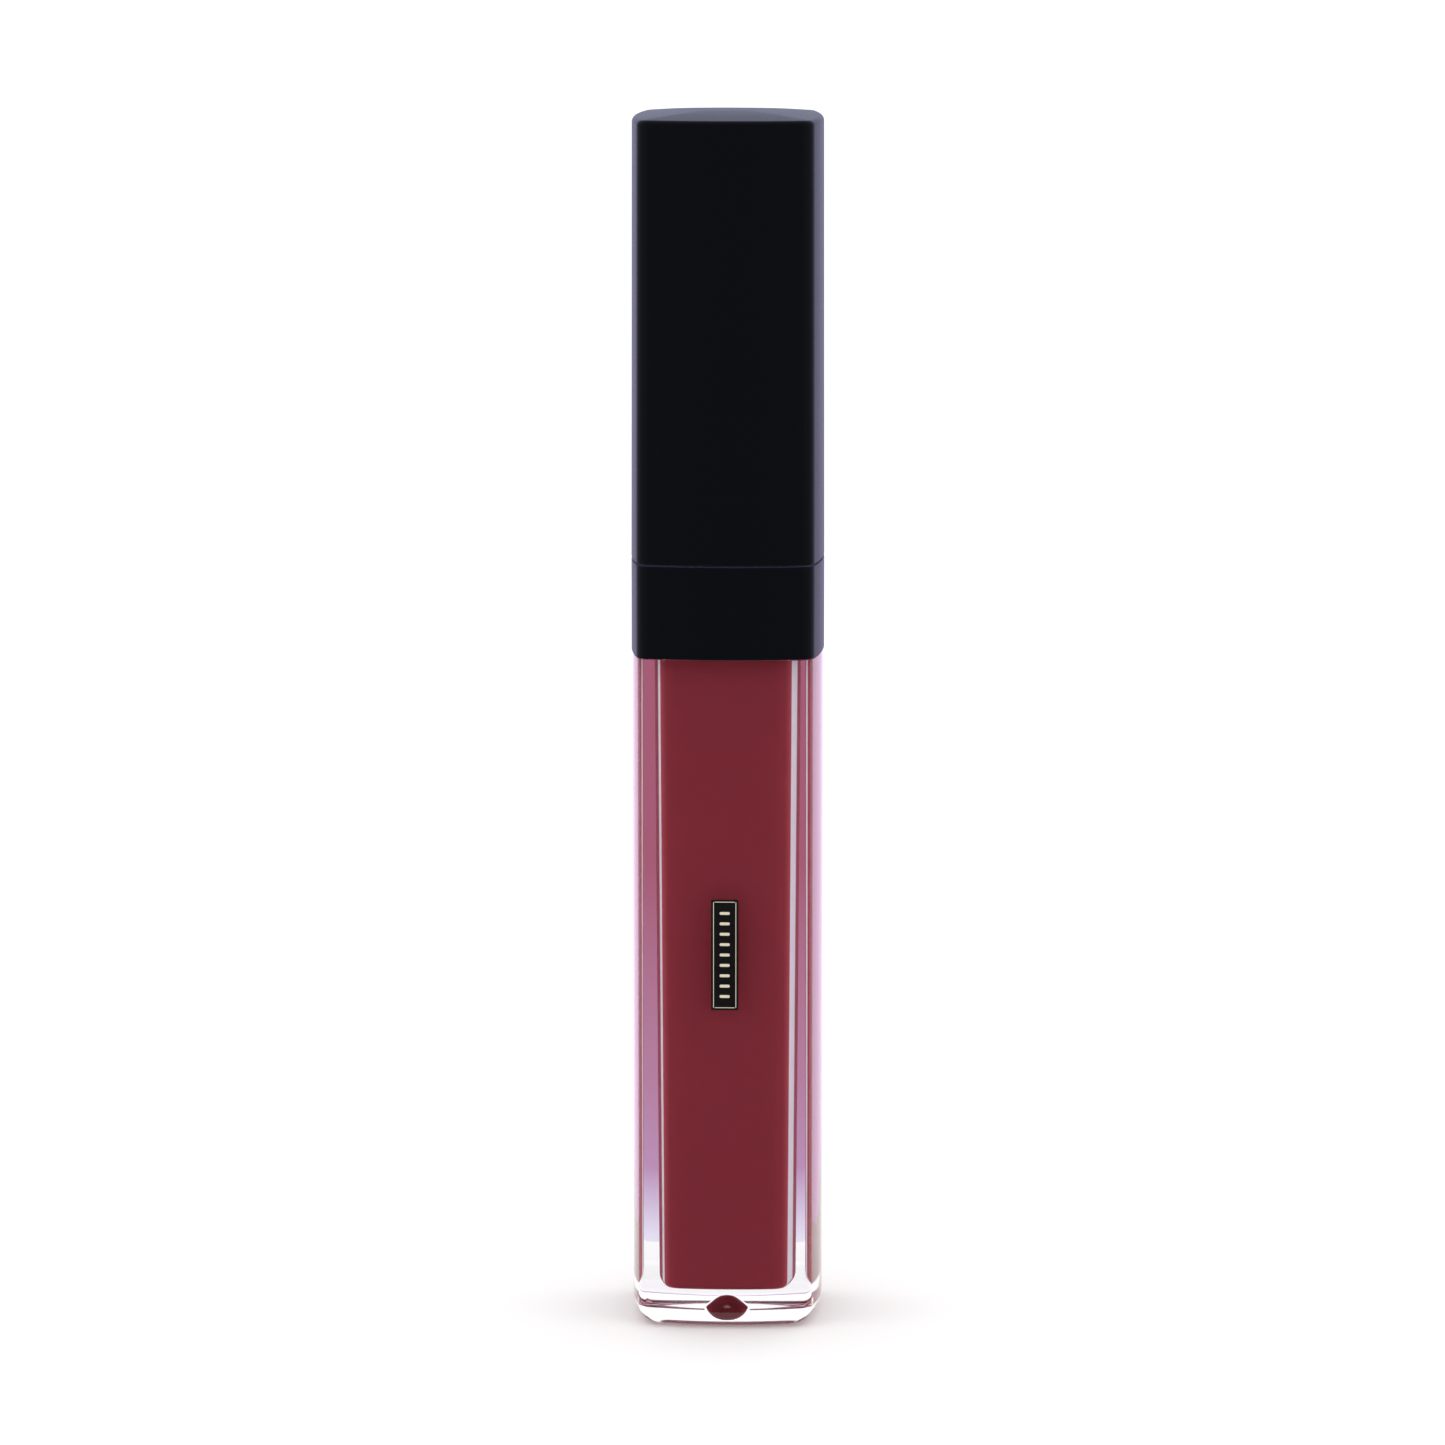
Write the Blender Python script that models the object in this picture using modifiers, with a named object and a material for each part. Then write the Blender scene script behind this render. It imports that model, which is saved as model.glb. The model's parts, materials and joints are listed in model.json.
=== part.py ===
"""A square lip-gloss tube with a screw cap and a wand, modelled as its separate pieces.

Millimetres in the dimensions below, metres in the scene, +Z up. The tube stands on z = 0,
its axis is the Z axis and its label faces -Y. Every moving piece turns about, or slides
along, that same axis, so every object's origin lies on it.
"""

import math

import bmesh
import bpy

MM = 0.001
GAP = 0.3  # clearance between pieces that rest on each other

# Square section shared by the bottle, the collar and the cap: four slightly bulged faces
FACE_RADIUS = 34.0
CORNER_RADIUS = 1.0
FACE_STEPS = 6
CORNER_STEPS = 4
CROWN_STEPS = 5

# Heights
BOTTLE_SHOULDER = 61.3
SPIGOT_TOP = 66.8
COLLAR_TOP = 69.7
CAP_BOTTOM = COLLAR_TOP + GAP
CAP_EDGE = 109.45
CAP_CROWN = 0.55
CAP_ROOF = 108.3
NECK_TOP = 79.5

# Half widths across the flats
BOTTLE_HALF = 8.62
COLLAR_HALF = 8.7
CAP_HALF = 8.65
SHELL_WALL = 1.1
SPIGOT_HALF = 7.2

# Base, cavity and filling
FOOT_ROUND = 2.1
FOOT_STEPS = 6
BACK_TIGHT = 0.3  # radius where the back edge of the foot turns under
CAVITY_FLOOR = 3.2
CAVITY_FLOOR_HALF = 5.6
CAVITY_TOP_HALF = 6.0
CAVITY_CORNER = 1.4
FILL_TOP = 62.5
WELL_RADIUS = 2.4
WELL_FLOOR = 5.4

# Neck and thread
NECK_RADIUS = 5.4
NECK_BORE = 4.2
THREAD_RIDGE = 0.45
THREAD_LEAD = 3.0
MALE_HELIX_RADIUS = 5.5
MALE_START = 72.0
MALE_TURNS = 1.25
CAP_BORE = 6.25
FEMALE_HELIX_RADIUS = 6.15
FEMALE_TURNS = 1.0
FEMALE_DROP = 0.6  # how far the ridge runs on below the point half a lead above the male start

# Wand
STEM_RADIUS = 1.6
STEM_BOTTOM = 12.0
STEM_TOP = 87.7
SOCKET_RADIUS = 1.0
SOCKET_DEPTH = 4.0
FLOCK_RADIUS = 1.9
FLOCK_BOTTOM = 6.0
FLOCK_TOP = 11.6
FLOCK_COAT = 0.3
FACET_ANGLE = math.radians(20)
FACET_OUT = 0.6  # from the axis to the slanted face, at the height of the tip

TURN_STEPS = 32


def start_scene():
    for obj in list(bpy.data.objects):
        bpy.data.objects.remove(obj)
    groups = []
    for name in ("lip_gloss_tube", "cutters"):
        group = bpy.data.collections.new(name)
        bpy.context.scene.collection.children.link(group)
        groups.append(group)
    groups[1].hide_render = True
    return groups


PARTS, CUTTERS = start_scene()


def make_material(name, colour, roughness, metallic=0.0, alpha=1.0, transmission=0.0):
    material = bpy.data.materials.new(name)
    material.use_nodes = True
    shader = material.node_tree.nodes["Principled BSDF"]
    shader.inputs["Base Color"].default_value = (*colour, 1.0)
    shader.inputs["Roughness"].default_value = roughness
    shader.inputs["Metallic"].default_value = metallic
    shader.inputs["Alpha"].default_value = alpha
    shader.inputs["Transmission Weight"].default_value = transmission
    material.diffuse_color = (*colour, alpha)
    return material


# ---------------------------------------------------------------- shape helpers


def section(half, corner=CORNER_RADIUS, face_radius=FACE_RADIUS):
    """Points round a bulged square: four shallow face arcs joined by four corner arcs."""
    centre = half - face_radius
    reach = face_radius - corner
    d = (centre + math.sqrt(2 * reach**2 - centre**2)) / 2
    tangent = math.atan2(d, d - centre)
    quarter = []
    for step in range(FACE_STEPS + 1):
        angle = tangent * (2 * step / FACE_STEPS - 1)
        quarter.append((centre + face_radius * math.cos(angle), face_radius * math.sin(angle)))
    for step in range(1, CORNER_STEPS):
        angle = tangent + (math.pi / 2 - 2 * tangent) * step / CORNER_STEPS
        quarter.append((d + corner * math.cos(angle), d + corner * math.sin(angle)))
    points = []
    for _ in range(4):
        points += quarter
        quarter = [(-y, x) for x, y in quarter]
    return points


def link(name, data, group=PARTS):
    obj = bpy.data.objects.new(name, data)
    group.objects.link(obj)
    if group is CUTTERS:
        obj.hide_render = True
        obj.display_type = "WIRE"
    return obj


def block(name, size, place, group=CUTTERS):
    """A box from its three side lengths and its centre."""
    bpy.ops.mesh.primitive_cube_add(size=MM, location=[value * MM for value in place])
    obj = bpy.context.object
    mesh, matrix = obj.data, obj.matrix_world.copy()
    bpy.data.objects.remove(obj)
    mesh.name = name
    obj = link(name, mesh, group)
    obj.matrix_world = matrix
    obj.scale = size
    return obj


def solid_from_curve(curve_obj):
    """Replaces a curve object by a welded mesh object in the same place."""
    bpy.context.view_layer.update()
    graph = bpy.context.evaluated_depsgraph_get()
    mesh = bpy.data.meshes.new_from_object(curve_obj.evaluated_get(graph))
    work = bmesh.new()
    work.from_mesh(mesh)
    bmesh.ops.remove_doubles(work, verts=work.verts, dist=1e-6)
    bmesh.ops.recalc_face_normals(work, faces=work.faces)
    work.to_mesh(mesh)
    work.free()
    name = curve_obj.name
    group = curve_obj.users_collection[0]
    place = curve_obj.matrix_world.copy()
    bpy.data.objects.remove(curve_obj)
    obj = link(name, mesh, group)
    obj.matrix_world = place
    return obj


def prism(name, half, bottom, top, corner=CORNER_RADIUS, top_half=None, group=PARTS):
    """A bulged-square bar standing between two heights, its top scaled to top_half."""
    curve = bpy.data.curves.new(name, "CURVE")
    curve.dimensions = "2D"
    curve.fill_mode = "BOTH"
    curve.extrude = (top - bottom) / 2 * MM
    points = section(half, corner)
    spline = curve.splines.new("POLY")
    spline.points.add(len(points) - 1)
    for point, (x, y) in zip(spline.points, points):
        point.co = (x * MM, y * MM, 0, 1)
    spline.use_cyclic_u = True
    obj = link(name, curve, group)
    obj.location.z = (top + bottom) / 2 * MM
    obj = solid_from_curve(obj)
    if top_half:
        for vertex in obj.data.vertices:
            if vertex.co.z > 0:
                vertex.co.x *= top_half / half
                vertex.co.y *= top_half / half
    return obj


def turned(name, profile, closed=False, group=PARTS):
    """A profile of (radius, height) points, top to bottom down its outer side, turned round Z."""
    base = min(height for _, height in profile)
    mesh = bpy.data.meshes.new(name)
    points = [(radius * MM, 0, (height - base) * MM) for radius, height in profile]
    edges = [(i, i + 1) for i in range(len(points) - 1)]
    if closed:
        edges.append((len(points) - 1, 0))
    mesh.from_pydata(points, edges, [])
    obj = link(name, mesh, group)
    obj.location.z = base * MM
    screw = obj.modifiers.new("Turn", "SCREW")
    screw.steps = screw.render_steps = TURN_STEPS
    screw.use_merge_vertices = True
    screw.merge_threshold = 1e-6
    return obj


def helix(name, radius, start, turns, group=CUTTERS):
    """A round-sectioned thread ridge, right-handed, as a tube along a helix."""
    curve = bpy.data.curves.new(name, "CURVE")
    curve.dimensions = "3D"
    curve.bevel_depth = THREAD_RIDGE * MM
    curve.bevel_resolution = 2
    curve.use_fill_caps = True
    count = round(turns * 24) + 1
    spline = curve.splines.new("POLY")
    spline.points.add(count - 1)
    for step, point in enumerate(spline.points):
        turn = turns * step / (count - 1)
        angle = 2 * math.pi * turn
        height = start + THREAD_LEAD * turn
        point.co = (radius * math.cos(angle) * MM, radius * math.sin(angle) * MM, height * MM, 1)
    return solid_from_curve(link(name, curve, group))


def combine(target, operation, other):
    modifier = target.modifiers.new(operation.title(), "BOOLEAN")
    modifier.operation = operation
    modifier.object = other
    modifier.solver = "EXACT"


def round_rim(obj, height, radius, segments=3):
    """Rounds the edges that ring the object at one height of its own."""
    work = bmesh.new()
    work.from_mesh(obj.data)
    bmesh.ops.dissolve_limit(work, angle_limit=0.001, verts=work.verts, edges=work.edges)
    rim = [
        edge
        for edge in work.edges
        if all(abs(vertex.co.z - height * MM) < 1e-7 for vertex in edge.verts)
    ]
    bmesh.ops.bevel(
        work, geom=rim, offset=radius * MM, segments=segments, profile=0.5, affect="EDGES"
    )
    work.to_mesh(obj.data)
    work.free()


# ---------------------------------------------------------------- bottle side


def front_inset(height):
    """How far the foot's front and side edges draw in at a height: a quarter circle."""
    return FOOT_ROUND - math.sqrt(FOOT_ROUND**2 - (FOOT_ROUND - height) ** 2)


def back_inset(height):
    """The back edge's inset: a long shallow arc, then a tight one from 30 degrees on."""
    turn = math.radians(30)
    change = BACK_TIGHT * (1 - math.sin(turn))
    long_radius = (FOOT_ROUND - change) / math.sin(turn)
    if height >= change:
        return long_radius - math.sqrt(long_radius**2 - (FOOT_ROUND - height) ** 2)
    along = math.asin(1 - height / BACK_TIGHT)
    return long_radius * (1 - math.cos(turn)) + BACK_TIGHT * (math.cos(turn) - math.cos(along))


def round_foot(obj):
    """Carries the bottom face down and in, ring by ring, from the top of the foot's rounding."""
    work = bmesh.new()
    work.from_mesh(obj.data)
    bmesh.ops.dissolve_limit(work, angle_limit=0.001, verts=work.verts, edges=work.edges)
    face = min(work.faces, key=lambda face: face.calc_center_median().z)
    outline = [(vertex.co.x, vertex.co.y) for vertex in face.verts]
    lowest = face.verts[0].co.z
    for step in range(1, FOOT_STEPS + 1):
        height = FOOT_ROUND * (1 - math.sin(math.pi / 2 * step / FOOT_STEPS))
        front, back = front_inset(height), back_inset(height)
        face = bmesh.ops.extrude_discrete_faces(work, faces=[face])["faces"][0]
        for vertex, (x, y) in zip(face.verts, outline):
            vertex.co.x = x * (1 - front / BOTTLE_HALF)
            vertex.co.y = y * (1 - (front + back) / 2 / BOTTLE_HALF) + (front - back) / 2 * MM
            vertex.co.z = lowest + (height - FOOT_ROUND) * MM
    work.to_mesh(obj.data)
    work.free()


def make_bottle():
    body = prism("bottle", BOTTLE_HALF, FOOT_ROUND, BOTTLE_SHOULDER)
    round_foot(body)
    spigot = prism("spigot", SPIGOT_HALF, BOTTLE_SHOULDER - 1, SPIGOT_TOP, group=CUTTERS)
    cavity = prism(
        "cavity",
        CAVITY_FLOOR_HALF,
        CAVITY_FLOOR,
        SPIGOT_TOP + 1,
        CAVITY_CORNER,
        CAVITY_TOP_HALF,
        CUTTERS,
    )
    gate = turned(
        "gate_dimple",
        [(0, 1.9), (0.5, 1.83), (0.95, 1.58), (1.95, 0.8), (1.95, -0.5), (0, -0.5)],
        group=CUTTERS,
    )
    combine(body, "UNION", spigot)
    combine(body, "DIFFERENCE", cavity)
    combine(body, "DIFFERENCE", gate)
    return body


def make_product_fill():
    fill = prism(
        "product_fill",
        CAVITY_FLOOR_HALF - GAP,
        CAVITY_FLOOR + GAP,
        FILL_TOP,
        CAVITY_CORNER - GAP,
        CAVITY_TOP_HALF - GAP - 0.05,
    )
    top = FILL_TOP + 1
    well = turned(
        "well",
        [(0, top), (WELL_RADIUS, top), (WELL_RADIUS, WELL_FLOOR), (0, WELL_FLOOR)],
        group=CUTTERS,
    )
    combine(fill, "DIFFERENCE", well)
    return fill


def make_neck_insert():
    plug_bottom = FILL_TOP + GAP
    flange_bottom = SPIGOT_TOP + GAP
    flange_top = flange_bottom + 1.1
    neck = prism("neck_insert", SPIGOT_HALF, flange_bottom, flange_top)
    plug = prism(
        "plug", CAVITY_TOP_HALF - GAP - 0.1, plug_bottom, flange_bottom + 0.5, 1.1, group=CUTTERS
    )
    tube = turned(
        "neck_tube",
        [(0, NECK_TOP), (NECK_RADIUS, NECK_TOP), (NECK_RADIUS, flange_top - 0.5), (0, flange_top - 0.5)],
        group=CUTTERS,
    )
    bore = turned(
        "neck_bore",
        [(0, NECK_TOP + 1), (NECK_BORE, NECK_TOP + 1), (NECK_BORE, plug_bottom - 1), (0, plug_bottom - 1)],
        group=CUTTERS,
    )
    thread = helix("male_thread", MALE_HELIX_RADIUS, MALE_START, MALE_TURNS)
    for piece in (plug, tube, thread):
        combine(neck, "UNION", piece)
    combine(neck, "DIFFERENCE", bore)
    return neck


def make_collar():
    bottom = BOTTLE_SHOULDER + GAP
    web_bottom = COLLAR_TOP - 1.2
    collar = prism("collar", COLLAR_HALF, bottom, COLLAR_TOP)
    inside = prism(
        "collar_inside", COLLAR_HALF - SHELL_WALL, bottom - 1, web_bottom, 0.6, group=CUTTERS
    )
    hole = turned(
        "collar_hole",
        [(0, COLLAR_TOP + 1), (CAP_BORE, COLLAR_TOP + 1), (CAP_BORE, bottom), (0, bottom)],
        group=CUTTERS,
    )
    combine(collar, "DIFFERENCE", inside)
    combine(collar, "DIFFERENCE", hole)
    return collar


def make_wiper():
    """A thin funnel that hangs in the neck and scrapes the stem."""
    flange_bottom = NECK_TOP + GAP
    profile = [
        (5.0, flange_bottom + 0.7),
        (5.0, flange_bottom),
        (NECK_BORE - GAP, flange_bottom),
        (NECK_BORE - GAP, 71.5),
        (2.8, 67.8),
        (2.2, 67.8),
        (3.3, 71.7),
        (3.3, flange_bottom + 0.7),
    ]
    return turned("wiper", profile, closed=True)


def make_front_label():
    """A small upright panel just in front of the bottle's front face."""
    thickness = 0.06
    size = (2.45, thickness, 10.1)
    return block("front_label", size, (0, thickness / 2 - COLLAR_HALF, 34.6), PARTS)


# ---------------------------------------------------------------- cap and wand


def raise_crown(obj):
    """Raises the top face to a shallow dome, ring by ring, and closes it with one point."""
    work = bmesh.new()
    work.from_mesh(obj.data)
    face = max(work.faces, key=lambda face: face.calc_center_median().z)
    outline = [tuple(vertex.co) for vertex in face.verts]
    for step in range(1, CROWN_STEPS):
        share = 1 - step / CROWN_STEPS
        face = bmesh.ops.extrude_discrete_faces(work, faces=[face])["faces"][0]
        for vertex, (x, y, z) in zip(face.verts, outline):
            vertex.co = (x * share, y * share, z + CAP_CROWN * MM * (1 - share**2))
    centre = bmesh.ops.poke(work, faces=[face])["verts"][0]
    centre.co.z += CAP_CROWN * MM / CROWN_STEPS**2
    work.to_mesh(obj.data)
    work.free()


def make_cap_shell():
    shell = prism("cap_shell", CAP_HALF, CAP_BOTTOM, CAP_EDGE)
    round_rim(shell, (CAP_EDGE - CAP_BOTTOM) / 2, 0.5)
    raise_crown(shell)
    inside = prism(
        "shell_inside", CAP_HALF - SHELL_WALL, CAP_BOTTOM - 1, CAP_ROOF, 0.6, group=CUTTERS
    )
    combine(shell, "DIFFERENCE", inside)
    return shell


def make_inner_cap():
    """The threaded liner of the cap: a skirt, a top disc and the boss that grips the stem."""
    bottom, roof, disc_top, boss_top = 70.6, 82.1, 83.6, 88.0
    profile = [
        (3.4, boss_top),
        (3.4, disc_top),
        (7.2, disc_top),
        (7.2, bottom),
        (CAP_BORE, bottom),
        (CAP_BORE, roof),
        (STEM_RADIUS + GAP, roof),
        (STEM_RADIUS + GAP, boss_top),
    ]
    cap = turned("inner_cap", profile, closed=True)
    start = MALE_START + THREAD_LEAD / 2 - FEMALE_DROP
    thread = helix("female_thread", FEMALE_HELIX_RADIUS, start, FEMALE_TURNS)
    thread.rotation_euler.z = -2 * math.pi * FEMALE_DROP / THREAD_LEAD
    combine(cap, "UNION", thread)
    rib_height = disc_top + 1.2
    ribs = (
        ("rib_right", (4.0, 0.9, 3.0), (5.1, 0, rib_height)),
        ("rib_left", (4.0, 0.9, 3.0), (-5.1, 0, rib_height)),
        ("rib_back", (0.9, 4.0, 3.0), (0, 5.1, rib_height)),
        ("rib_front", (0.9, 4.0, 3.0), (0, -5.1, rib_height)),
    )
    for name, size, place in ribs:
        combine(cap, "UNION", block(name, size, place))
    return cap


def make_cap_gasket():
    bottom, top = 80.8, 81.8
    return turned(
        "cap_gasket", [(5.5, top), (5.5, bottom), (2.7, bottom), (2.7, top)], closed=True
    )


def make_cap_weight():
    bottom, top, radius, chamfer = 96.0, 108.0, 6.6, 0.5
    profile = [
        (0, top),
        (radius - chamfer, top),
        (radius, top - chamfer),
        (radius, bottom + chamfer),
        (radius - chamfer, bottom),
        (0, bottom),
    ]
    return turned("cap_weight", profile)


def make_stem():
    shoulder_bottom, shoulder_top, shoulder_radius = 80.9, 81.8, 2.3
    profile = [
        (0, STEM_TOP),
        (STEM_RADIUS - 0.3, STEM_TOP),
        (STEM_RADIUS, STEM_TOP - 0.3),
        (STEM_RADIUS, shoulder_top),
        (shoulder_radius, shoulder_top),
        (shoulder_radius, shoulder_bottom),
        (STEM_RADIUS, shoulder_bottom),
        (STEM_RADIUS, STEM_BOTTOM),
        (SOCKET_RADIUS, STEM_BOTTOM),
        (SOCKET_RADIUS, STEM_BOTTOM + SOCKET_DEPTH),
        (0, STEM_BOTTOM + SOCKET_DEPTH),
    ]
    return turned("stem", profile)


def doe_foot(name, inset, top, group):
    """The slanted tip of the wand, drawn in all round by inset."""
    radius = FLOCK_RADIUS - inset
    bottom = FLOCK_BOTTOM + inset
    round_steps = 4
    profile = [(0, top), (radius, top)]
    for step in range(round_steps + 1):
        angle = math.pi / 2 * step / round_steps
        profile.append((radius * math.cos(angle), bottom + radius * (1 - math.sin(angle))))
    foot = turned(name, profile, group=group)
    side = 8.0
    place = (
        FACET_OUT - inset + side / 2 * math.cos(FACET_ANGLE),
        0,
        FLOCK_BOTTOM - side / 2 * math.sin(FACET_ANGLE),
    )
    facet = block(name + "_facet", (side, side, side), place)
    facet.rotation_euler.y = FACET_ANGLE
    combine(foot, "DIFFERENCE", facet)
    return foot


def make_applicator_core():
    core = doe_foot("applicator_core", 2 * FLOCK_COAT, FLOCK_TOP, PARTS)
    top = STEM_BOTTOM + SOCKET_DEPTH - GAP
    radius = SOCKET_RADIUS - GAP
    spigot = turned(
        "core_spigot",
        [(0, top), (radius, top), (radius, FLOCK_TOP - 1), (0, FLOCK_TOP - 1)],
        group=CUTTERS,
    )
    combine(core, "UNION", spigot)
    return core


def make_applicator_flock():
    flock = doe_foot("applicator_flock", 0, FLOCK_TOP, PARTS)
    hollow = doe_foot("flock_hollow", FLOCK_COAT, FLOCK_TOP + 1, CUTTERS)
    combine(flock, "DIFFERENCE", hollow)
    return flock


# ---------------------------------------------------------------- assembly

SOFT_BLACK = make_material("soft_black", (0.012, 0.013, 0.015), 0.45)
CLEAR = make_material("clear_plastic", (0.93, 0.93, 0.97), 0.04, alpha=0.4, transmission=0.9)
GLOSS_RED = make_material("red_gloss", (0.17, 0.022, 0.032), 0.15)
NATURAL = make_material("natural_plastic", (0.72, 0.70, 0.68), 0.35)
BLACK_PLASTIC = make_material("black_plastic", (0.02, 0.02, 0.022), 0.3)
STEEL = make_material("steel", (0.56, 0.57, 0.58), 0.3, metallic=1.0)
FOAM = make_material("foam", (0.80, 0.79, 0.76), 0.8)
FLOCK = make_material("flock", (0.42, 0.10, 0.12), 0.95)
LABEL = make_material("label_ink", (0.02, 0.02, 0.02), 0.4)

MAKERS = (
    (make_bottle, CLEAR, False),
    (make_product_fill, GLOSS_RED, False),
    (make_neck_insert, NATURAL, False),
    (make_collar, SOFT_BLACK, False),
    (make_wiper, NATURAL, False),
    (make_front_label, LABEL, False),
    (make_cap_shell, SOFT_BLACK, True),
    (make_inner_cap, BLACK_PLASTIC, True),
    (make_cap_gasket, FOAM, True),
    (make_cap_weight, STEEL, True),
    (make_stem, BLACK_PLASTIC, True),
    (make_applicator_core, NATURAL, True),
    (make_applicator_flock, FLOCK, True),
)

cap_axis = link("cap_axis", None)
for make, material, moves in MAKERS:
    piece = make()
    piece.data.materials.append(material)
    if moves:
        piece.parent = cap_axis
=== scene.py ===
# %% [markdown]
# # A square gloss tube, piece by piece
# This file dresses a ready-made frame. The frame holds plain solids of every piece, at
# their real size and place, and knows how they move. Here each piece gets its fine shape
# and its finish. Nothing in the frame is moved: a finer piece stands in for a plain one.

# %% Load the frame
import json
import math

import bpy
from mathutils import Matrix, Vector

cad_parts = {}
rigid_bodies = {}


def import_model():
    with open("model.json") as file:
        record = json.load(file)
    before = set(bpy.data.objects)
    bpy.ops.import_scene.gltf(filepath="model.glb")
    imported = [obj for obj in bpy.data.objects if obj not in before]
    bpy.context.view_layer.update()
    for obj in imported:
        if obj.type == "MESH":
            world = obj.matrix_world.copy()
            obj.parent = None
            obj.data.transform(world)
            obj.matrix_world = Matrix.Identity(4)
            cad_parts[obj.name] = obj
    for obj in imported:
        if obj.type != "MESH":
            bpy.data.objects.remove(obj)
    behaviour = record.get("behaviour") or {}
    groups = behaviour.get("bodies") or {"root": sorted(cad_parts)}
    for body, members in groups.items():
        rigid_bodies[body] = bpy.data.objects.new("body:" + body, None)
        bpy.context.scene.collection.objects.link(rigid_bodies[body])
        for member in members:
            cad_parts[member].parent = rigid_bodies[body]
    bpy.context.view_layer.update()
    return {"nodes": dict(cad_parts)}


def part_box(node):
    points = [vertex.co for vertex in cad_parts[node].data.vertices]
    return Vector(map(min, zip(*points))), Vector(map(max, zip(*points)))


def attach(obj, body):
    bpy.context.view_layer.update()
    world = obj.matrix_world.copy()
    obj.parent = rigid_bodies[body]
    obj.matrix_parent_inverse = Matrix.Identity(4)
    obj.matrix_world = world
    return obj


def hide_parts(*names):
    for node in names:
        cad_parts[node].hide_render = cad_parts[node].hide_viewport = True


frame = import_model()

print("frame holds", len(frame["nodes"]), "plain solids")

# %% [markdown]
# ## Measures
# Blender's unit here is the metre, and the tube is only 110 mm tall, so every size is
# written in millimetres and multiplied by MM. Heights that the frame already knows are
# read from its boxes, so the fine pieces land exactly where the plain ones are.

# %% Sizes shared by several pieces
MM = 0.001
FACE_RADIUS = 34.0
CORNER_RADIUS = 1.0
FACE_STEPS = 18
CORNER_STEPS = 8
TURN_STEPS = 96
WELD = 0.001
SOFT_EDGE = math.radians(30)


def level(node, end):
    """The lowest (0) or highest (1) height of a plain solid, in millimetres."""
    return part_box(node)[end][2] / MM


def reach(node):
    """Half the width of a plain solid across its flats, in millimetres."""
    low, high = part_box(node)
    return (high[0] - low[0]) / 2 / MM


FRAME_GAP = 0.3
SHOULDER = level("collar", 0) - FRAME_GAP
COLLAR_TOP = level("collar", 1)
CAP_BOTTOM, CAP_TOP = level("cap_shell", 0), level("cap_shell", 1)
BOTTLE_HALF, COLLAR_HALF, CAP_HALF = reach("bottle"), reach("collar"), reach("cap_shell")
print(f"bottle {2 * BOTTLE_HALF:.2f} mm wide, cap {CAP_TOP - CAP_BOTTOM:.1f} mm tall")

# %% [markdown]
# ## Hand tools
# A modeller works on one object at a time: deselect everything, add a primitive, go into
# edit mode, shape it, come out. These small helpers do the same, so that each later cell
# reads like a list of the moves made by hand.


# %% Starting and ending an edit
def start_point(name, x, y, z):
    """A new object that holds one point, open in edit mode."""
    bpy.ops.object.select_all(action="DESELECT")
    bpy.ops.mesh.primitive_plane_add(size=MM, location=(0, 0, 0))
    piece = bpy.context.object
    piece.name = piece.data.name = name
    bpy.ops.object.mode_set(mode="EDIT")
    bpy.ops.mesh.select_mode(type="VERT")
    bpy.ops.mesh.select_all(action="SELECT")
    bpy.ops.mesh.merge(type="CENTER")
    move(x, y, z)
    return piece


def edit(piece, kind="FACE"):
    """Opens a piece in edit mode with nothing selected."""
    bpy.ops.object.select_all(action="DESELECT")
    bpy.context.view_layer.objects.active = piece
    piece.select_set(True)
    bpy.ops.object.mode_set(mode="EDIT")
    bpy.ops.mesh.select_mode(type=kind)
    bpy.ops.mesh.select_all(action="DESELECT")


def leave(piece):
    bpy.ops.object.mode_set(mode="OBJECT")
    return piece


def move(x=0.0, y=0.0, z=0.0):
    bpy.ops.transform.translate(value=(x * MM, y * MM, z * MM))


def scale(factor_x, factor_y, factor_z=1.0):
    bpy.ops.transform.resize(value=(factor_x, factor_y, factor_z))


def extrude(x=0.0, y=0.0, z=0.0):
    shift = {"value": (x * MM, y * MM, z * MM)}
    bpy.ops.mesh.extrude_region_move(TRANSFORM_OT_translate=shift)


def draw_in(factor):
    """Extrudes the selected face in place and shrinks the new one towards its middle."""
    extrude()
    scale(factor, factor)


def pick(piece, kind, rule):
    """Selects the points, edges or faces of an open piece whose middle passes a rule."""
    bpy.ops.mesh.select_all(action="DESELECT")
    bpy.ops.object.mode_set(mode="OBJECT")
    mesh = piece.data
    chosen = 0
    for element in {"VERT": mesh.vertices, "EDGE": mesh.edges, "FACE": mesh.polygons}[kind]:
        if kind == "VERT":
            middle = element.co
        elif kind == "EDGE":
            middle = sum((mesh.vertices[i].co for i in element.vertices), Vector()) / 2
        else:
            middle = element.center
        element.select = bool(rule(middle / MM, element))
        chosen += element.select
    bpy.ops.object.mode_set(mode="EDIT")
    bpy.ops.mesh.select_mode(type=kind)
    return chosen


def merge_close():
    """Welds points that meet and turns every face outwards."""
    bpy.ops.mesh.select_all(action="SELECT")
    bpy.ops.mesh.remove_doubles(threshold=WELD * MM)
    bpy.ops.mesh.normals_make_consistent(inside=False)


def apply_modifier(piece, kind, **settings):
    """Adds a modifier, sets it and applies it."""
    bpy.ops.object.select_all(action="DESELECT")
    bpy.context.view_layer.objects.active = piece
    piece.select_set(True)
    modifier = piece.modifiers.new(kind.title(), kind)
    for name, value in settings.items():
        setattr(modifier, name, value)
    bpy.ops.object.modifier_apply(modifier=modifier.name)
    return piece


def join_or_cut(piece, operation, other):
    """Applies a Boolean with another piece and throws that piece away."""
    apply_modifier(piece, "BOOLEAN", operation=operation, object=other, solver="EXACT")
    bpy.data.objects.remove(other)
    return piece


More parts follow.
